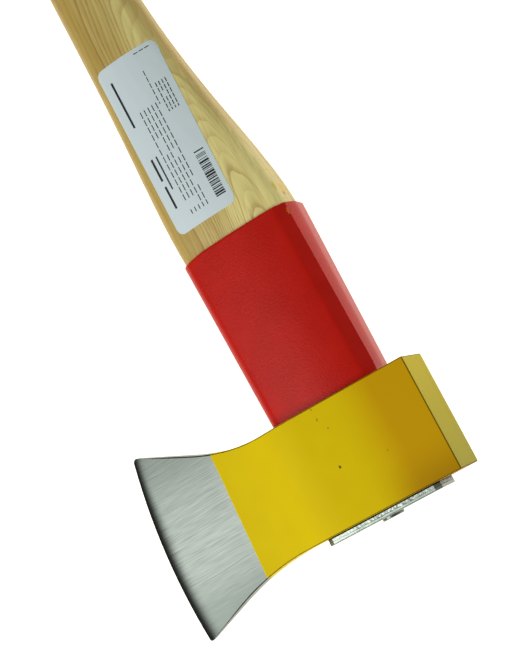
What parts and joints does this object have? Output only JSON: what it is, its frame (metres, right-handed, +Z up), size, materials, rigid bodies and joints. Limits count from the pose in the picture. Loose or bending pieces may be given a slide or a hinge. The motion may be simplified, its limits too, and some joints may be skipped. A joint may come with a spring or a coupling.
{
  "type": "splitting axe",
  "caption": "Splitting axe with a painted wedge head, ground bit, steel neck sleeve, screwed safety plate and curved wooden handle.",
  "frame": {"origin": "on the surface that the axe lies on, under the middle of its box", "axes": "+X along the handle towards the crown of the head, +Y from the cutting edge towards the poll, +Z up through the cheeks"},
  "size_m": [0.718, 0.167, 0.0382],
  "materials": {
    "head_enamel": "yellow enamel, with the bit ground bare",
    "sleeve_enamel": "red, lightly textured coating",
    "ash_wood": "sanded and clear-coated pale wood",
    "zinc_plated_steel": "zinc plating",
    "label_film": "plain pale foil label, no lettering"
  },
  "bodies": {
    "root": {"axe_head": "head_enamel", "steel_sleeve": "sleeve_enamel", "handle": "ash_wood", "safety_plate": "zinc_plated_steel", "safety_screw": "zinc_plated_steel", "label": "label_film"}
  },
  "joints": []
}
